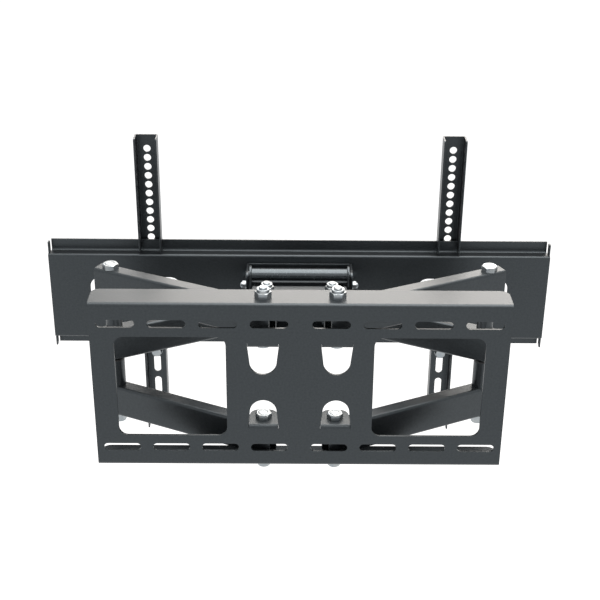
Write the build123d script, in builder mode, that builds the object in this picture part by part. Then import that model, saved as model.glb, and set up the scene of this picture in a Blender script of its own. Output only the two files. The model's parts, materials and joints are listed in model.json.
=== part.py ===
from build123d import *
import math
import os

# Full-motion television wall mount with two folding arm pairs, part way out from the wall.
# Millimetres. The origin is the centre of the wall plate's wall side, +Z is up,
# +X runs along the wall and +Y leads away from the wall, towards the television.

os.makedirs("parts", exist_ok=True)

# Wall plate
plate_width = 482.0
plate_height = 216.0
plate_sheet = 3.0
plate_bend = 4.5
flange_depth = 39.0
flange_corner = 11.0
window_width = 128.0
window_height = 132.0
window_corner = 11.0
window_x = 149.5
slot_length = 44.0
slot_width = 10.0
slot_first_x = 35.5
slot_pitch = 58.4
slots_a_side = 4
slot_row_z = 82.5

# Bent tongues of the wall plate, which carry the inner ends of the arm bolts
tongue_reach = 37.0
tongue_root_width = 36.0
tongue_tip_width = 31.4
tongue_corner = 11.0
tongue_cut_length = 35.0
tongue_cut_margin = 1.0
tongue_gap = 0.2

# Arm linkage
pivot_x = 42.7
pivot_y = 20.0
link_length = 207.5
rest_angle = 26.0
arm_width = 20.0
arm_height = 42.0
arm_wall = 2.5
arm_corner = 3.5
arm_inner_end = 12.0
arm_outer_end = 18.0
head_end = 10.0

# Bolts, nuts, nylon bushes and spacers of the linkage
bolt_diameter = 10.0
bolt_head_width = 17.0
bolt_head_height = 6.4
bolt_tip_chamfer = 1.0
bolt_past_nut = 2.0
elbow_bolt_past_nut = 1.5
nut_height = 11.0
nut_hex_height = 7.5
nut_collar_diameter = 15.5
hex_chamfer_angle = 30.0
hex_tip_share = 0.97
collar_round_share = 0.33
bolt_hole_play = 0.2
bush_bore_play = 0.1
loose_bore_play = 0.5
bush_sleeve = 14.0
bush_sleeve_past = 1.5
bush_flange = 20.0
bush_flange_height = 3.9
elbow_bush_flange_height = 1.9
bush_play = 0.1
spacer_diameter = 20.0

# Head: the bracket at the television end of the forearms
head_sheet = 3.0
head_bend = 4.5
head_front = 14.0
head_back = 18.0
head_width = 124.0
head_front_corner = 10.0
ear_span = 133.2
ear_radius = 13.3
ear_bottom_z = -22.0
ear_slope = 15.0
tilt_axis_back = 43.0
tilt_axis_z = 30.4
tilt_tube_diameter = 20.0
tilt_tube_gap = 0.3
tilt_pin_diameter = 12.0
tilt_pin_play = 0.1
tilt_pin_proud = 0.8
tilt_up = 5.0
tilt_down = 12.0
tilt_slot_margin = 1.0

# Tilt lock bolts
lock_radius = 16.2
lock_below = 15.8
lock_diameter = 6.0
lock_slot_play = 0.6
lock_head_width = 10.0
lock_head_height = 4.0
lock_nut_height = 6.0
lock_nut_hex_height = 4.2
lock_nut_collar = 8.6
lock_washer_diameter = 12.0
lock_washer_height = 1.6
lock_bolt_past_nut = 1.0
washer_play = 0.05

# Television side
tv_face_back = 61.0
tv_bracket_side_gap = 0.9
tv_bracket_depth = 37.0
tv_bracket_height = 80.8
tv_bracket_sheet = 3.0
tv_bracket_bend = 4.5
tv_bracket_corner = 5.0
tv_plate_sheet = 2.0
tv_plate_bend = 3.0
tv_face_top = 51.0
tv_face_bottom = -73.5
tv_lip_back = 15.6
tv_lip_top = 66.8
tv_lip_bottom = -88.5
tv_half_length = 337.0
tv_lip_end_gap = 0.8
tv_end_setback = 4.0
tv_end_depth = 12.0
tv_end_corner = 2.5
tv_opening_width = 123.0
tv_opening_top = 18.0
tv_opening_bottom = -41.0
tv_opening_corner = 15.0
tv_opening_x = 221.5

# Uprights that carry the television
upright_x = 200.0
upright_width = 30.0
upright_depth = 22.2
upright_web_gap = 2.6
upright_sheet = 2.0
upright_bend = 3.0
upright_top = 212.5
upright_bottom = -222.0
upright_corner = 2.0
hook_above_ledge = 4.0
hook_gap = 0.8
lip_top_gap = 0.4
shoulder_below_lip = 5.0
hole_diameter = 9.6
hole_top_z = 193.5
hole_pitch = 12.5
hole_count = 15
upright_slot_width = 9.4
upright_slot_length = 27.3
upright_slot_pitch = 35.7
lower_slot_z = -126.0
lower_slot_count = 3
middle_slot_z = -40.3
middle_slot_count = 2
stop_screw_below_shoulder = 12.0
stop_screw_diameter = 8.0
stop_head_width = 13.0
stop_head_height = 5.3
stop_washer_diameter = 16.0
stop_washer_height = 1.6

# Heights and places that follow from the sizes above
bolt_hole_diameter = bolt_diameter + bolt_hole_play
arm_top_z = plate_height / 2 - plate_sheet - bush_play - bush_flange_height
arm_bottom_z = arm_top_z - arm_height
wall_arm_z = (arm_top_z + arm_bottom_z) / 2
tongue_z = arm_bottom_z - bush_flange_height - bush_play - plate_sheet
tongue_cut_bottom = tongue_z - tongue_cut_length
forearm_top_z = arm_height / 2
head_plate_z = forearm_top_z + bush_play + bush_flange_height + head_sheet
spacer_start_z = forearm_top_z + elbow_bush_flange_height + bush_play
reach_x = link_length * math.cos(math.radians(rest_angle))
reach_y = link_length * math.sin(math.radians(rest_angle))
elbow_x = pivot_x + reach_x
elbow_y = pivot_y + reach_y
head_y = pivot_y + 2 * reach_y
back_plate_y = head_y + head_back
tilt_y = head_y + tilt_axis_back
tv_y = head_y + tv_face_back
ear_inner_x = ear_span / 2 - head_sheet
tv_bracket_width = ear_span + 2 * (tv_bracket_side_gap + tv_bracket_sheet)
lock_back = math.sqrt(lock_radius**2 - lock_below**2)
hook_bottom = tv_face_top + hook_above_ledge
lower_shoulder = tv_lip_bottom - shoulder_below_lip
stop_screw_z = lower_shoulder - stop_screw_below_shoulder


def save(part, name):
    """Give a finished piece its name and write it."""
    part.label = name
    export_step(part, f"parts/{name}.step")


def hex_bolt(diameter, length, head_width, head_height):
    """Hexagon bolt on the Z axis, its head below z = 0 and its shank above."""
    tip_radius = head_width / 2 * hex_tip_share
    base_radius = tip_radius + head_height / math.tan(math.radians(hex_chamfer_angle))
    with BuildPart() as bolt:
        with BuildSketch(Plane.XY.offset(-head_height)):
            RegularPolygon(head_width / 2, 6, major_radius=False)
        extrude(amount=head_height)
        with Locations(Plane.XY.offset(-head_height)):
            Cone(tip_radius, base_radius, head_height, mode=Mode.INTERSECT,
                 align=(Align.CENTER, Align.CENTER, Align.MIN))
        with BuildSketch(Plane.XY):
            Circle(diameter / 2)
        extrude(amount=length)
        chamfer(bolt.edges().group_by(Axis.Z)[-1], bolt_tip_chamfer * diameter / bolt_diameter)
    return bolt.part


def lock_nut(bore, hex_width, hex_height, collar, height):
    """Self-locking nut on the Z axis, seated on z = 0, with its round collar at the top."""
    tip_radius = hex_width / 2 * hex_tip_share
    base_radius = tip_radius + hex_height / math.tan(math.radians(hex_chamfer_angle))
    with BuildPart() as nut:
        with BuildSketch(Plane.XY):
            RegularPolygon(hex_width / 2, 6, major_radius=False)
        extrude(amount=hex_height)
        Cone(base_radius, tip_radius, hex_height, mode=Mode.INTERSECT,
             align=(Align.CENTER, Align.CENTER, Align.MIN))
        with BuildSketch(Plane.XY.offset(hex_height)):
            Circle(collar / 2)
        extrude(amount=height - hex_height)
        fillet(nut.edges().group_by(Axis.Z)[-1], (height - hex_height) * collar_round_share)
        Hole(bore / 2)
    return nut.part


def flanged_bush(flange_height, bore):
    """Nylon bush on the Z axis: a flange above z = 0 and a sleeve below it."""
    with BuildPart() as bush:
        with BuildSketch(Plane.XY):
            Circle(bush_flange / 2)
        extrude(amount=flange_height)
        with BuildSketch(Plane.XY):
            Circle(bush_sleeve / 2)
        extrude(amount=-(arm_wall + bush_sleeve_past))
        Hole(bore / 2)
    return bush.part


def tube_link(start, end, middle_z, start_over, end_over, start_hole, end_hole):
    """Straight arm of rectangular tube with open ends, bored across at both pivots."""
    run = Vector(end[0] - start[0], end[1] - start[1], 0).normalized()
    first = Vector(start[0], start[1], middle_z) - run * start_over
    section_plane = Plane(origin=first, x_dir=(0, 0, 1), z_dir=run)
    inner_height = arm_height - 2 * arm_wall
    inner_width = arm_width - 2 * arm_wall
    with BuildPart() as link:
        with BuildSketch(section_plane):
            RectangleRounded(arm_height, arm_width, arm_corner)
            RectangleRounded(inner_height, inner_width, arm_corner - arm_wall, mode=Mode.SUBTRACT)
        extrude(amount=start_over + link_length + end_over)
        with BuildSketch(Plane.XY.offset(middle_z - arm_height)):
            with Locations(start):
                Circle(start_hole / 2)
            with Locations(end):
                Circle(end_hole / 2)
        extrude(amount=2 * arm_height, mode=Mode.SUBTRACT)
    return link.part


def facing(x, y, z, up):
    """Place on a vertical axis, looking up or down."""
    return Plane(origin=(x, y, z), x_dir=(1, 0, 0), z_dir=(0, 0, up)).location


# Tongue of the wall plate, bent back from the flat edge of its cut-out
with BuildPart() as tongue:
    with BuildSketch(Plane.YZ.offset(pivot_x - tongue_root_width / 2 + tongue_gap)):
        with BuildLine():
            FilletPolyline(
                (0, tongue_z + plate_bend + 2 * tongue_cut_margin), (0, tongue_z), (tongue_reach, tongue_z),
                radius=plate_bend)
            offset(amount=plate_sheet, side=Side.LEFT)
        make_face()
    extrude(amount=tongue_root_width - 2 * tongue_gap)
    with BuildSketch(Plane.XY.offset(tongue_z)) as tongue_outline:
        with BuildLine():
            Polyline(
                (pivot_x - tongue_root_width / 2, 0),
                (pivot_x + tongue_root_width / 2, 0),
                (pivot_x + tongue_tip_width / 2, tongue_reach),
                (pivot_x - tongue_tip_width / 2, tongue_reach),
                close=True)
        make_face()
        fillet(tongue_outline.vertices().group_by(Axis.Y)[-1], tongue_corner)
    extrude(amount=plate_bend + 3 * tongue_cut_margin, mode=Mode.INTERSECT)

# Wall plate: one folded sheet with two windows, two rows of slots and four tongues
with BuildPart() as wall_plate:
    with BuildSketch(Plane.YZ.offset(-plate_width / 2)):
        with BuildLine():
            FilletPolyline(
                (flange_depth, plate_height / 2), (0, plate_height / 2),
                (0, -plate_height / 2), (flange_depth, -plate_height / 2),
                radius=plate_bend)
            offset(amount=plate_sheet, side=Side.LEFT)
        make_face()
    extrude(amount=plate_width)
    fillet(wall_plate.edges().filter_by(Axis.Z).group_by(Axis.Y)[-1], flange_corner)
    with BuildSketch(Plane.XZ):
        with Locations((-window_x, 0), (window_x, 0)):
            RectangleRounded(window_width, window_height, window_corner)
        for row_z in (-slot_row_z, slot_row_z):
            for index in range(slots_a_side):
                slot_x = slot_first_x + index * slot_pitch
                with Locations((-slot_x, row_z), (slot_x, row_z)):
                    SlotOverall(slot_length, slot_width)
    extrude(amount=-2 * plate_sheet, mode=Mode.SUBTRACT)
    for side in (-1, 1):
        for level in (-1, 1):
            middle_x = side * pivot_x
            round_radius = tongue_tip_width / 2
            round_z = tongue_cut_bottom + round_radius
            cut_top = tongue_z + plate_bend + tongue_cut_margin
            with BuildSketch(Plane.XZ):
                with BuildLine():
                    Polyline(
                        (middle_x - round_radius, level * round_z),
                        (middle_x - tongue_root_width / 2, level * tongue_z),
                        (middle_x - tongue_root_width / 2, level * cut_top),
                        (middle_x + tongue_root_width / 2, level * cut_top),
                        (middle_x + tongue_root_width / 2, level * tongue_z),
                        (middle_x + round_radius, level * round_z))
                    ThreePointArc(
                        (middle_x + round_radius, level * round_z),
                        (middle_x, level * tongue_cut_bottom),
                        (middle_x - round_radius, level * round_z))
                make_face()
            extrude(amount=-2 * plate_sheet, mode=Mode.SUBTRACT)
    add(tongue.part)
    add(mirror(tongue.part, about=Plane.YZ, mode=Mode.PRIVATE))
    add(mirror(tongue.part, about=Plane.XY, mode=Mode.PRIVATE))
    add(mirror(mirror(tongue.part, about=Plane.YZ, mode=Mode.PRIVATE), about=Plane.XY, mode=Mode.PRIVATE))
    with BuildSketch(Plane.XY.offset(-plate_height)):
        with Locations((-pivot_x, pivot_y), (pivot_x, pivot_y)):
            Circle(bolt_hole_diameter / 2)
    extrude(amount=2 * plate_height, mode=Mode.SUBTRACT)
save(wall_plate.part, "wall_plate")

# Bolts and nuts of the four wall pivots
wall_bolt_length = plate_height / 2 - tongue_z + nut_height + bolt_past_nut
wall_bolt = hex_bolt(bolt_diameter, wall_bolt_length, bolt_head_width, bolt_head_height)
pivot_nut = lock_nut(bolt_diameter, bolt_head_width, nut_hex_height, nut_collar_diameter, nut_height)
for level, row in ((1, "upper"), (-1, "lower")):
    with BuildPart() as wall_bolts:
        with Locations(facing(-pivot_x, pivot_y, level * tongue_z, level),
                       facing(pivot_x, pivot_y, level * tongue_z, level)):
            add(wall_bolt)
    save(wall_bolts.part, f"{row}_wall_bolts")
    with BuildPart() as wall_nuts:
        with Locations(facing(-pivot_x, pivot_y, level * plate_height / 2, level),
                       facing(pivot_x, pivot_y, level * plate_height / 2, level)):
            add(pivot_nut)
    save(wall_nuts.part, f"{row}_wall_nuts")

# Both arm pairs, each with an upper and a lower wall arm and one forearm between them
bush_bore = bolt_diameter + bush_bore_play
pivot_bush = flanged_bush(bush_flange_height, bush_bore)
elbow_bush = flanged_bush(elbow_bush_flange_height, bush_bore)
loose_head_bush = flanged_bush(bush_flange_height, bolt_diameter + loose_bore_play)
elbow_bolt_length = 2 * arm_top_z + nut_height + elbow_bolt_past_nut
elbow_bolt_solid = hex_bolt(bolt_diameter, elbow_bolt_length, bolt_head_width, bolt_head_height)
for side, hand in ((-1, "left"), (1, "right")):
    wall_pivot = (side * pivot_x, pivot_y)
    elbow = (side * elbow_x, elbow_y)
    head_pivot = (side * pivot_x, head_y)
    for level, row in ((1, "upper"), (-1, "lower")):
        arm = tube_link(wall_pivot, elbow, level * wall_arm_z, arm_inner_end, arm_outer_end,
                        bush_sleeve, bolt_hole_diameter)
        save(arm, f"{hand}_{row}_arm")
        spacer_low = spacer_start_z if level > 0 else -arm_bottom_z
        with BuildPart() as spacer:
            with BuildSketch(Plane.XY.offset(spacer_low)):
                with Locations(elbow):
                    Circle(spacer_diameter / 2)
                    Circle(bolt_hole_diameter / 2, mode=Mode.SUBTRACT)
            extrude(amount=arm_bottom_z - spacer_start_z)
        save(spacer.part, f"{hand}_{row}_spacer")
    with BuildPart() as arm_bushes:
        with Locations(facing(*wall_pivot, arm_top_z, 1), facing(*wall_pivot, arm_bottom_z, -1),
                       facing(*wall_pivot, -arm_bottom_z, 1), facing(*wall_pivot, -arm_top_z, -1)):
            add(pivot_bush)
    save(arm_bushes.part, f"{hand}_arm_bushes")
    with BuildPart() as elbow_bolt:
        with Locations(facing(*elbow, arm_top_z, -1)):
            add(elbow_bolt_solid)
    save(elbow_bolt.part, f"{hand}_elbow_bolt")
    with BuildPart() as elbow_nut:
        with Locations(facing(*elbow, -arm_top_z, -1)):
            add(pivot_nut)
    save(elbow_nut.part, f"{hand}_elbow_nut")
    forearm = tube_link(elbow, head_pivot, 0, arm_outer_end, head_end, bush_sleeve, bush_sleeve)
    save(forearm, f"{hand}_forearm")
    with BuildPart() as forearm_bushes:
        with Locations(facing(*elbow, forearm_top_z, 1), facing(*elbow, -forearm_top_z, -1)):
            add(elbow_bush)
        with Locations(facing(*head_pivot, forearm_top_z, 1), facing(*head_pivot, -forearm_top_z, -1)):
            add(pivot_bush if side < 0 else loose_head_bush)
    save(forearm_bushes.part, f"{hand}_forearm_bushes")

# Head bracket: a fork over the forearm ends with two ears towards the television
slope = math.radians(ear_slope)
ear_tangent_y = tilt_y + ear_radius * math.cos(slope)
ear_tangent_z = tilt_axis_z - ear_radius * math.sin(slope)
ear_rear_y = ear_tangent_y - (ear_tangent_z - ear_bottom_z) * math.tan(slope)
with BuildPart() as head_bracket:
    with BuildSketch(Plane.YZ.offset(-head_width / 2)):
        with BuildLine():
            FilletPolyline(
                (head_y - head_front, head_plate_z), (back_plate_y, head_plate_z),
                (back_plate_y, -head_plate_z), (head_y - head_front, -head_plate_z),
                radius=head_bend)
            offset(amount=head_sheet, side=Side.RIGHT)
        make_face()
    extrude(amount=head_width)
    fillet(head_bracket.edges().filter_by(Axis.Z).group_by(Axis.Y)[0], head_front_corner)
    with BuildSketch(Plane.XZ.offset(-back_plate_y)):
        Rectangle(ear_span, -2 * ear_bottom_z)
    extrude(amount=head_sheet)
    for start_x in (-ear_span / 2, ear_inner_x):
        with BuildSketch(Plane.YZ.offset(start_x)):
            with Locations((tilt_y, tilt_axis_z)):
                Circle(ear_radius)
            with BuildLine():
                Polyline(
                    (back_plate_y - head_sheet, ear_bottom_z),
                    (ear_rear_y, ear_bottom_z),
                    (ear_tangent_y, ear_tangent_z),
                    (tilt_y - ear_radius, tilt_axis_z),
                    close=True)
            make_face()
        extrude(amount=head_sheet)
    with BuildSketch(Plane.XY.offset(-2 * head_plate_z)):
        with Locations((-pivot_x, head_y), (pivot_x, head_y)):
            Circle(bolt_hole_diameter / 2)
    extrude(amount=4 * head_plate_z, mode=Mode.SUBTRACT)
    with BuildSketch(Plane.YZ.offset(-ear_span)):
        with Locations((tilt_y, tilt_axis_z)):
            Circle(tilt_pin_diameter / 2 + tilt_pin_play / 2)
        with Locations((tilt_y + lock_back, tilt_axis_z - lock_below)):
            Circle(lock_diameter / 2 + washer_play)
    extrude(amount=2 * ear_span, mode=Mode.SUBTRACT)
save(head_bracket.part, "head_bracket")

# Bolts and nuts of the two head pivots
head_bolt_length = 2 * head_plate_z + nut_height + elbow_bolt_past_nut
head_bolt = hex_bolt(bolt_diameter, head_bolt_length, bolt_head_width, bolt_head_height)
with BuildPart() as head_bolts:
    with Locations(facing(-pivot_x, head_y, -head_plate_z, 1), facing(pivot_x, head_y, -head_plate_z, 1)):
        add(head_bolt)
save(head_bolts.part, "head_bolts")
with BuildPart() as head_nuts:
    with Locations(facing(-pivot_x, head_y, head_plate_z, 1), facing(pivot_x, head_y, head_plate_z, 1)):
        add(pivot_nut)
save(head_nuts.part, "head_nuts")

# Tube between the ears, which the tilt pin runs through
with BuildPart() as tilt_tube:
    with BuildSketch(Plane.YZ.offset(-ear_inner_x)):
        with Locations((tilt_y, tilt_axis_z)):
            Circle(tilt_tube_diameter / 2)
            Circle(tilt_pin_diameter / 2 + tilt_tube_gap, mode=Mode.SUBTRACT)
    extrude(amount=2 * ear_inner_x)
save(tilt_tube.part, "tilt_tube")

# Bolts, washers and nuts that lock the tilt
lock_y = tilt_y + lock_back
lock_z = tilt_axis_z - lock_below
lock_washer_start = tv_bracket_width / 2 + washer_play
lock_nut_start = lock_washer_start + lock_washer_height
lock_shank = lock_nut_start + lock_nut_height + lock_bolt_past_nut - ear_inner_x
lock_bolt = hex_bolt(lock_diameter, lock_shank, lock_head_width, lock_head_height)
small_nut = lock_nut(lock_diameter, lock_head_width, lock_nut_hex_height, lock_nut_collar, lock_nut_height)
left_out = Plane(origin=(0, lock_y, lock_z), x_dir=(0, 0, 1), z_dir=(-1, 0, 0))
right_out = Plane(origin=(0, lock_y, lock_z), x_dir=(0, 0, 1), z_dir=(1, 0, 0))
with BuildPart() as lock_bolts:
    with Locations(left_out.offset(ear_inner_x).location, right_out.offset(ear_inner_x).location):
        add(lock_bolt)
save(lock_bolts.part, "tilt_lock_bolts")
with BuildPart() as lock_washers:
    with BuildSketch(left_out.offset(lock_washer_start), right_out.offset(lock_washer_start)):
        Circle(lock_washer_diameter / 2)
        Circle(lock_diameter / 2, mode=Mode.SUBTRACT)
    extrude(amount=lock_washer_height)
save(lock_washers.part, "tilt_lock_washers")
with BuildPart() as lock_nuts:
    with Locations(left_out.offset(lock_nut_start).location, right_out.offset(lock_nut_start).location):
        add(small_nut)
save(lock_nuts.part, "tilt_lock_nuts")

# Tilt bracket on the television plate, with an arc slot for each lock bolt
with BuildPart() as tv_bracket:
    with BuildSketch(Plane.XY.offset(-tv_bracket_height / 2)):
        with BuildLine():
            FilletPolyline(
                (-tv_bracket_width / 2, tv_y - tv_bracket_depth), (-tv_bracket_width / 2, tv_y),
                (tv_bracket_width / 2, tv_y), (tv_bracket_width / 2, tv_y - tv_bracket_depth),
                radius=tv_bracket_bend)
            offset(amount=tv_bracket_sheet, side=Side.RIGHT)
        make_face()
    extrude(amount=tv_bracket_height)
    fillet(tv_bracket.edges().filter_by(Axis.X).group_by(Axis.Y)[0], tv_bracket_corner)
    slot_start = math.degrees(math.atan2(-lock_below, lock_back)) - tilt_up - tilt_slot_margin
    slot_sweep = tilt_down + tilt_up + 2 * tilt_slot_margin
    with BuildSketch(Plane.YZ.offset(-tv_bracket_width)):
        with Locations((tilt_y, tilt_axis_z)):
            Circle(tilt_pin_diameter / 2)
        with BuildLine():
            slot_path = CenterArc((tilt_y, tilt_axis_z), lock_radius, slot_start, slot_sweep)
        SlotArc(slot_path, lock_diameter + lock_slot_play)
    extrude(amount=2 * tv_bracket_width, mode=Mode.SUBTRACT)
save(tv_bracket.part, "tv_bracket")

# Tilt pin, fixed in the tilt bracket
with BuildPart() as tilt_pin:
    with BuildSketch(Plane.YZ.offset(-tv_bracket_width / 2 - tilt_pin_proud)):
        with Locations((tilt_y, tilt_axis_z)):
            Circle(tilt_pin_diameter / 2)
    extrude(amount=tv_bracket_width + 2 * tilt_pin_proud)
    chamfer(tilt_pin.edges().filter_by(GeomType.CIRCLE), tilt_pin_proud / 2)
save(tilt_pin.part, "tilt_pin")

# Television plate: a long folded rail with a hook lip above and below and closed ends
notch_width = tv_plate_sheet + tv_lip_end_gap
notch_x = tv_half_length - notch_width / 2
notch_z = (tv_lip_top + tv_lip_bottom) / 2
flat_top = tv_face_top - tv_plate_bend
flat_bottom = tv_face_bottom + tv_plate_bend
opening_height = tv_opening_top - tv_opening_bottom
opening_z = (tv_opening_top + tv_opening_bottom) / 2
with BuildPart() as tv_plate:
    with BuildSketch(Plane.YZ.offset(-tv_half_length)):
        with BuildLine():
            FilletPolyline(
                (tv_y + tv_lip_back, tv_lip_top), (tv_y + tv_lip_back, tv_face_top),
                (tv_y, tv_face_top), (tv_y, tv_face_bottom),
                (tv_y + tv_lip_back, tv_face_bottom), (tv_y + tv_lip_back, tv_lip_bottom),
                radius=tv_plate_bend)
            offset(amount=tv_plate_sheet, side=Side.LEFT)
        make_face()
    extrude(amount=2 * tv_half_length)
    with BuildSketch(Plane.XZ.offset(-tv_y - tv_lip_back + tv_plate_bend)):
        with Locations((-notch_x, notch_z), (notch_x, notch_z)):
            Rectangle(notch_width, 2 * (tv_lip_top - tv_lip_bottom))
    extrude(amount=-tv_plate_bend - 2 * tv_plate_sheet, mode=Mode.SUBTRACT)
    for start_x in (-tv_half_length, tv_half_length - tv_plate_sheet):
        with BuildSketch(Plane.YZ.offset(start_x)) as end_profile:
            with BuildLine():
                Polyline(
                    (tv_y, flat_bottom), (tv_y, flat_top),
                    (tv_y + tv_end_setback, tv_face_top), (tv_y + tv_end_setback, tv_lip_top),
                    (tv_y + tv_end_depth, tv_lip_top), (tv_y + tv_end_depth, tv_lip_bottom),
                    (tv_y + tv_end_setback, tv_lip_bottom), (tv_y + tv_end_setback, tv_face_bottom),
                    close=True)
            make_face()
            fillet(end_profile.vertices().group_by(Axis.X)[-1], tv_end_corner)
        extrude(amount=tv_plate_sheet)
    with BuildSketch(Plane.XZ.offset(-tv_y)):
        with Locations((-tv_opening_x, opening_z), (tv_opening_x, opening_z)):
            RectangleRounded(tv_opening_width, opening_height, tv_opening_corner)
    extrude(amount=-2 * tv_plate_sheet, mode=Mode.SUBTRACT)
save(tv_plate.part, "tv_plate")

# Uprights: channels hooked over the plate's upper lip, and the stop screw below its lower lip
lip_front_y = tv_y + tv_lip_back - hook_gap
lip_rear_y = tv_y + tv_lip_back + tv_plate_sheet + hook_gap
web_front_y = lip_rear_y + upright_web_gap
web_rear_y = web_front_y + upright_sheet
flange_front_y = web_rear_y - upright_depth
stop_head_y = web_front_y - stop_washer_height
stop_screw_solid = hex_bolt(stop_screw_diameter, stop_washer_height + upright_sheet,
                            stop_head_width, stop_head_height)
for side, hand in ((-1, "left"), (1, "right")):
    middle_x = side * upright_x
    with BuildPart() as upright:
        with BuildSketch(Plane.XY.offset(upright_bottom)):
            with BuildLine():
                FilletPolyline(
                    (middle_x - upright_width / 2, flange_front_y), (middle_x - upright_width / 2, web_rear_y),
                    (middle_x + upright_width / 2, web_rear_y), (middle_x + upright_width / 2, flange_front_y),
                    radius=upright_bend)
                offset(amount=upright_sheet, side=Side.RIGHT)
            make_face()
        extrude(amount=upright_top - upright_bottom)
        fillet(upright.edges().filter_by(Axis.X).group_by(Axis.Y)[0], upright_corner)
        with BuildSketch(Plane.YZ.offset(middle_x - upright_width)):
            with BuildLine():
                Polyline(
                    (tv_y - upright_depth, lower_shoulder),
                    (lip_rear_y, lower_shoulder),
                    (lip_rear_y, tv_lip_top + lip_top_gap),
                    (lip_front_y, tv_lip_top + lip_top_gap),
                    (lip_front_y, hook_bottom),
                    (tv_y - upright_depth, hook_bottom),
                    close=True)
            make_face()
        extrude(amount=2 * upright_width, mode=Mode.SUBTRACT)
        with BuildSketch(Plane.XZ.offset(-web_rear_y)):
            for index in range(hole_count):
                with Locations((middle_x, hole_top_z - index * hole_pitch)):
                    Circle(hole_diameter / 2)
            for top_z, count in ((middle_slot_z, middle_slot_count), (lower_slot_z, lower_slot_count)):
                for index in range(count):
                    with Locations((middle_x, top_z - index * upright_slot_pitch)):
                        SlotOverall(upright_slot_length, upright_slot_width, rotation=90)
            with Locations((middle_x, stop_screw_z)):
                Circle(stop_screw_diameter / 2)
        extrude(amount=2 * upright_sheet, mode=Mode.SUBTRACT)
    save(upright.part, f"{hand}_upright")
    screw_plane = Plane(origin=(middle_x, stop_head_y, stop_screw_z), x_dir=(1, 0, 0), z_dir=(0, 1, 0))
    with BuildPart() as stop_screw:
        with Locations(screw_plane.location):
            add(stop_screw_solid)
        with BuildSketch(screw_plane):
            Circle(stop_washer_diameter / 2)
        extrude(amount=stop_washer_height)
    save(stop_screw.part, f"{hand}_stop_screw")
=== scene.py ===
import json
import math

import bpy
from mathutils import Matrix, Vector


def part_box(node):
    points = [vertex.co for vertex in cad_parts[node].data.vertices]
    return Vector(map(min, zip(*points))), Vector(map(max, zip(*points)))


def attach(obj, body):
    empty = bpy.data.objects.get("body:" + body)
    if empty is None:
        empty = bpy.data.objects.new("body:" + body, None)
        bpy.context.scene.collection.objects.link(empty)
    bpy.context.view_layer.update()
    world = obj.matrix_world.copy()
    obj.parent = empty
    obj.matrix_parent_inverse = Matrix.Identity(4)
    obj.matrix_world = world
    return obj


MM = 0.001
WARM_OVERHEAD = (1.0, 0.97, 0.94)
WARM_BACK = (1.0, 0.91, 0.83)
COOL_WORLD = (0.92, 0.96, 1.0)
COOL_SHEEN = (0.82, 0.93, 1.0)
FLOOR_GREY = (0.3, 0.3, 0.3)
FLOOR_WHITE = 0.98
WORLD_LIGHT = 0.3
FLOOR_HALF = 14.0
FLOOR_BELOW = 1.4
SHEET_EDGE = 0.7 * MM
BRACKET_EDGE = 1.2 * MM
BEVEL_SAMPLES = 8
PIVOT_X = 42.7 * MM
RIM_STEPS = 48
# Radius and height of the ring's section, in mm
RIM_PROFILE = [(4.4, -0.2), (4.6, 0.12), (5.0, 0.34), (5.5, 0.42), (6.0, 0.34), (6.5, 0.12), (6.8, -0.2)]

CAMERA_PLACE = (-0.00923, -1.22423, 0.71498)
CAMERA_YAW = math.radians(0.403)
CAMERA_PITCH = math.radians(26.146)
CAMERA_ROLL = math.radians(0.52)
FOCUS_PIXELS = 1213.745
IMAGE_PIXELS = 600
SENSOR_WIDTH = 36.0
NEAREST_SEEN = 0.05
FURTHEST_SEEN = 60.0


def link_object(name, data):
    """New object in the scene."""
    obj = bpy.data.objects.new(name, data)
    bpy.context.scene.collection.objects.link(obj)
    return obj


def reset_material(name):
    """A new material with an empty node tree but for its output."""
    mat = bpy.data.materials.new(name)
    mat.use_nodes = True
    mat.node_tree.nodes.clear()
    out = mat.node_tree.nodes.new("ShaderNodeOutputMaterial")
    return mat, mat.node_tree, out


def reset_shader(name):
    """A new material with one principled shader, and the object's own coordinates."""
    mat, tree, out = reset_material(name)
    coords = tree.nodes.new("ShaderNodeTexCoord").outputs["Object"]
    shader = tree.nodes.new("ShaderNodeBsdfPrincipled")
    tree.links.new(shader.outputs["BSDF"], out.inputs["Surface"])
    return mat, tree, coords, shader


def noise(tree, coords, scale, detail=3.0, rough=0.55):
    """Noise over the object's own coordinates, in features per metre."""
    tex = tree.nodes.new("ShaderNodeTexNoise")
    tex.inputs["Scale"].default_value = scale
    tex.inputs["Detail"].default_value = detail
    tex.inputs["Roughness"].default_value = rough
    tree.links.new(coords, tex.inputs["Vector"])
    return tex.outputs["Fac"]


def ramp(tree, value, dark, light, low=0.3, high=0.7):
    """Colour between two shades where the value goes from low to high."""
    node = tree.nodes.new("ShaderNodeValToRGB")
    node.color_ramp.elements[0].position = low
    node.color_ramp.elements[1].position = high
    node.color_ramp.elements[0].color = (*dark, 1)
    node.color_ramp.elements[1].color = (*light, 1)
    tree.links.new(value, node.inputs["Fac"])
    return node.outputs["Color"]


def spread(tree, value, low, high):
    """The value, remapped from 0..1 to low..high."""
    node = tree.nodes.new("ShaderNodeMapRange")
    node.inputs["To Min"].default_value = low
    node.inputs["To Max"].default_value = high
    tree.links.new(value, node.inputs["Value"])
    return node.outputs["Result"]


def rounded_edges(tree, radius):
    """Normal that rounds sharp edges off to the radius, as a coat of paint does."""
    node = tree.nodes.new("ShaderNodeBevel")
    node.samples = BEVEL_SAMPLES
    node.inputs["Radius"].default_value = radius
    return node.outputs["Normal"]


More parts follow.
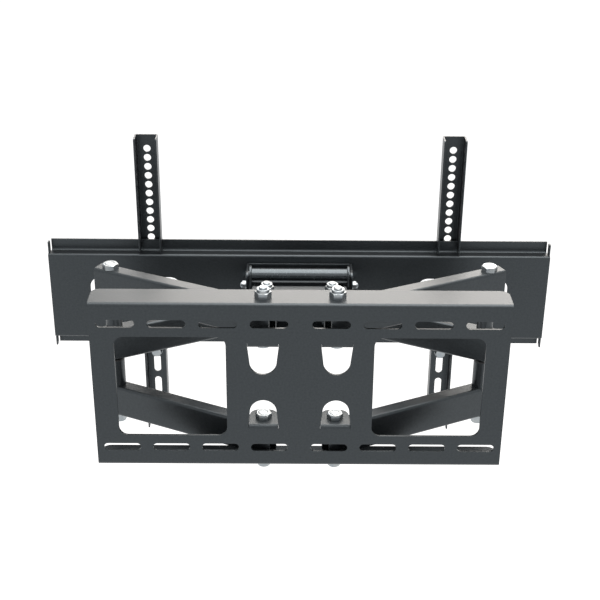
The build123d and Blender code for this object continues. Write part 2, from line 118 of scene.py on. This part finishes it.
def bump(tree, height, strength, distance, before=None):
    """Normal of a fine relief, on top of the one before where there is one."""
    node = tree.nodes.new("ShaderNodeBump")
    node.inputs["Strength"].default_value = strength
    node.inputs["Distance"].default_value = distance
    tree.links.new(height, node.inputs["Height"])
    if before is not None:
        tree.links.new(before, node.inputs["Normal"])
    return node.outputs["Normal"]


def painted_steel(name, smoothest, roughest, edge_radius, ior):
    """Satin black powder coat: orange peel, fine grain, slight cloudiness in colour and gloss."""
    mat, tree, coords, shader = reset_shader(name)
    cloud = noise(tree, coords, scale=9.0, detail=4.0)
    grain = noise(tree, coords, scale=1500.0, detail=2.0)
    peel = noise(tree, coords, scale=380.0, detail=2.0)
    colour = ramp(tree, cloud, dark=(0.010, 0.011, 0.012), light=(0.014, 0.0155, 0.017))
    shader.inputs["IOR"].default_value = ior
    shader.inputs["Specular Tint"].default_value = (*COOL_SHEEN, 1)
    tree.links.new(colour, shader.inputs["Base Color"])
    tree.links.new(spread(tree, peel, smoothest, roughest), shader.inputs["Roughness"])
    tree.links.new(spread(tree, peel, 0.38, 0.62), shader.inputs["Specular IOR Level"])
    normal = rounded_edges(tree, edge_radius)
    normal = bump(tree, peel, strength=0.5, distance=0.12 * MM, before=normal)
    normal = bump(tree, grain, strength=0.3, distance=0.04 * MM, before=normal)
    tree.links.new(normal, shader.inputs["Normal"])
    return mat


def zinc_plate():
    """Bright zinc plating with a faint blue tint and light scuffs."""
    mat, tree, coords, shader = reset_shader("zinc_plate")
    tint = noise(tree, coords, scale=160.0)
    scuff = noise(tree, coords, scale=900.0, detail=4.0)
    colour = ramp(tree, tint, dark=(0.30, 0.335, 0.36), light=(0.39, 0.41, 0.415))
    shader.inputs["Metallic"].default_value = 1.0
    tree.links.new(colour, shader.inputs["Base Color"])
    tree.links.new(spread(tree, scuff, 0.22, 0.42), shader.inputs["Roughness"])
    tree.links.new(bump(tree, scuff, strength=0.25, distance=0.08 * MM), shader.inputs["Normal"])
    return mat


def moulded_nylon():
    """Black moulded nylon with a fine matt surface."""
    mat, tree, coords, shader = reset_shader("black_nylon")
    shade = noise(tree, coords, scale=240.0)
    grain = noise(tree, coords, scale=1800.0)
    colour = ramp(tree, shade, dark=(0.018, 0.018, 0.019), light=(0.032, 0.032, 0.033))
    tree.links.new(colour, shader.inputs["Base Color"])
    tree.links.new(spread(tree, shade, 0.42, 0.58), shader.inputs["Roughness"])
    tree.links.new(bump(tree, grain, strength=0.3, distance=0.05 * MM), shader.inputs["Normal"])
    return mat


def head_rim(name, body, centre, up):
    """Raised ring that the die leaves round the dished top of a hexagon head, standing up or down."""
    verts = []
    for step in range(RIM_STEPS):
        angle = 2 * math.pi * step / RIM_STEPS
        for radius, height in RIM_PROFILE:
            x = radius * MM * math.cos(angle)
            y = radius * MM * math.sin(angle) * up
            verts.append((x, y, height * MM * up))
    row = len(RIM_PROFILE)
    faces = []
    for step in range(RIM_STEPS):
        here, after = step * row, (step + 1) % RIM_STEPS * row
        for inner in range(row):
            outer = (inner + 1) % row
            faces.append((here + outer, after + outer, after + inner, here + inner))
    mesh = bpy.data.meshes.new(name)
    mesh.from_pydata(verts, [], faces)
    mesh.shade_smooth()
    mesh.materials.append(zinc)
    rim = link_object(name, mesh)
    rim.location = centre
    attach(rim, body)


def middle_of(box, axis):
    """Middle of a box along one axis."""
    return (box[0][axis] + box[1][axis]) / 2


def white_background(tree, strength):
    """White glow, and where it shows: to the camera, in mirrors and through glass."""
    path = tree.nodes.new("ShaderNodeLightPath")
    shown = path.outputs["Is Camera Ray"]
    for kind in ("Is Glossy Ray", "Is Transmission Ray"):
        either = tree.nodes.new("ShaderNodeMath")
        either.operation = "MAXIMUM"
        tree.links.new(shown, either.inputs[0])
        tree.links.new(path.outputs[kind], either.inputs[1])
        shown = either.outputs[0]
    glow = tree.nodes.new("ShaderNodeEmission")
    glow.inputs["Strength"].default_value = strength
    return shown, glow.outputs[0]


def mixed(tree, share, first, second):
    """Shader that goes from the first to the second as the share goes from 0 to 1."""
    node = tree.nodes.new("ShaderNodeMixShader")
    tree.links.new(share, node.inputs["Fac"])
    tree.links.new(first, node.inputs[1])
    tree.links.new(second, node.inputs[2])
    return node.outputs[0]


def white_floor():
    """Pale floor far below the wall-hung part. It keeps the part's shadow."""
    half = FLOOR_HALF
    mesh = bpy.data.meshes.new("floor")
    mesh.from_pydata([(-half, -half, 0), (half, -half, 0), (half, half, 0), (-half, half, 0)], [], [(0, 1, 2, 3)])
    floor = link_object("floor", mesh)
    floor.location = (0, 0, -FLOOR_BELOW)
    mat, tree, out = reset_material("floor")
    diffuse = tree.nodes.new("ShaderNodeBsdfDiffuse")
    diffuse.inputs["Color"].default_value = (*FLOOR_GREY, 1)
    shown, glow = white_background(tree, FLOOR_WHITE)
    both = tree.nodes.new("ShaderNodeAddShader")
    tree.links.new(diffuse.outputs[0], both.inputs[0])
    tree.links.new(glow, both.inputs[1])
    tree.links.new(mixed(tree, shown, diffuse.outputs[0], both.outputs[0]), out.inputs["Surface"])
    mesh.materials.append(mat)


def studio_world():
    """Dim cool light from all round, shown as white."""
    world = bpy.data.worlds.new("studio")
    bpy.context.scene.world = world
    world.use_nodes = True
    tree = world.node_tree
    tree.nodes.clear()
    out = tree.nodes.new("ShaderNodeOutputWorld")
    plain = tree.nodes.new("ShaderNodeBackground")
    plain.inputs["Color"].default_value = (*COOL_WORLD, 1)
    plain.inputs["Strength"].default_value = WORLD_LIGHT
    shown, glow = white_background(tree, 1.0)
    tree.links.new(mixed(tree, shown, plain.outputs[0], glow), out.inputs["Surface"])


def softbox(name, place, target, width, height, radiance, colour):
    """Evenly glowing rectangle that faces the target, as bright from everywhere as radiance says."""
    lamp = bpy.data.lights.new(name, "AREA")
    lamp.shape = "RECTANGLE"
    lamp.size = width
    lamp.size_y = height
    lamp.energy = radiance * math.pi * width * height
    lamp.color = colour
    obj = link_object(name, lamp)
    obj.location = place
    obj.rotation_mode = "QUATERNION"
    obj.rotation_quaternion = (Vector(target) - Vector(place)).to_track_quat("-Z", "Y")


def photo_camera():
    """Camera at the photograph's angle."""
    data = bpy.data.cameras.new("camera")
    camera = link_object("camera", data)
    level = math.cos(CAMERA_PITCH)
    forward = Vector((math.sin(CAMERA_YAW) * level, math.cos(CAMERA_YAW) * level, -math.sin(CAMERA_PITCH)))
    right = Vector((math.cos(CAMERA_YAW), -math.sin(CAMERA_YAW), 0))
    up = right.cross(forward)
    right_rolled = right * math.cos(CAMERA_ROLL) + up * math.sin(CAMERA_ROLL)
    up_rolled = up * math.cos(CAMERA_ROLL) - right * math.sin(CAMERA_ROLL)
    turn = Matrix((right_rolled, up_rolled, -forward)).transposed()
    camera.matrix_world = Matrix.Translation(CAMERA_PLACE) @ turn.to_4x4()
    data.sensor_width = SENSOR_WIDTH
    data.lens = FOCUS_PIXELS / IMAGE_PIXELS * SENSOR_WIDTH
    data.clip_start = NEAREST_SEEN
    data.clip_end = FURTHEST_SEEN
    bpy.context.scene.camera = camera


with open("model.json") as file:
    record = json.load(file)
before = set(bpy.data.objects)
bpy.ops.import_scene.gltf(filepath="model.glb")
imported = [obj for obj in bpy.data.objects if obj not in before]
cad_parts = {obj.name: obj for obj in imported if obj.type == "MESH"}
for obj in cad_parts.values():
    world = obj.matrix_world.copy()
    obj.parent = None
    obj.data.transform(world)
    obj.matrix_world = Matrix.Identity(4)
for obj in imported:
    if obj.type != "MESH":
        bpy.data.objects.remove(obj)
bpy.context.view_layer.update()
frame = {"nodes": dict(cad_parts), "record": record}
nodes = frame["nodes"]

# Finishes of the CAD nodes
sheet_paint = painted_steel("powder_coat", 0.31, 0.43, SHEET_EDGE, ior=1.65)
tube_paint = painted_steel("tube_paint", 0.22, 0.3, SHEET_EDGE, ior=1.9)
bracket_paint = painted_steel("bracket_paint", 0.26, 0.36, BRACKET_EDGE, ior=1.8)
zinc = zinc_plate()
slot_material = {"black_steel": sheet_paint, "zinc": zinc, "nylon": moulded_nylon()}
own_paint = {"tilt_tube": tube_paint, "tv_bracket": bracket_paint, "head_bracket": bracket_paint}
for row in frame["record"]["subparts"]:
    materials = nodes[row["node"]].data.materials
    materials.clear()
    materials.append(own_paint.get(row["node"], slot_material[row["material_slot"]]))

# Rings on the heads of the elbow bolts, the wall bolts and the head's bolts
upper_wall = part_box("upper_wall_bolts")
lower_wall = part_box("lower_wall_bolts")
head_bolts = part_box("head_bolts")
wall_y = middle_of(upper_wall, 1)
head_y = middle_of(head_bolts, 1)
for hand in ("left", "right"):
    elbow_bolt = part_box(f"{hand}_elbow_bolt")
    elbow_top = (middle_of(elbow_bolt, 0), middle_of(elbow_bolt, 1), elbow_bolt[1][2])
    head_rim(f"{hand}_elbow_head_rim", f"{hand}_arm_body", elbow_top, 1)
for hand, x in (("left", -PIVOT_X), ("right", PIVOT_X)):
    head_rim(f"{hand}_upper_wall_head_rim", "wall_body", (x, wall_y, upper_wall[0][2]), -1)
    head_rim(f"{hand}_lower_wall_head_rim", "wall_body", (x, wall_y, lower_wall[1][2]), 1)
    head_rim(f"{hand}_head_bolt_rim", "head_body", (x, head_y, head_bolts[0][2]), -1)

white_floor()
studio_world()
softbox("overhead_softbox", place=(0.25, 0.6, 2.4), target=(0.25, 0.6, 0),
        width=1.8, height=3.3, radiance=3.9, colour=WARM_OVERHEAD)
softbox("back_softbox", place=(1.05, 3.2, 1.6), target=(0, 0.12, 0),
        width=3.9, height=1.5, radiance=5.2, colour=WARM_BACK)
photo_camera()
bpy.context.scene.view_settings.view_transform = "Standard"
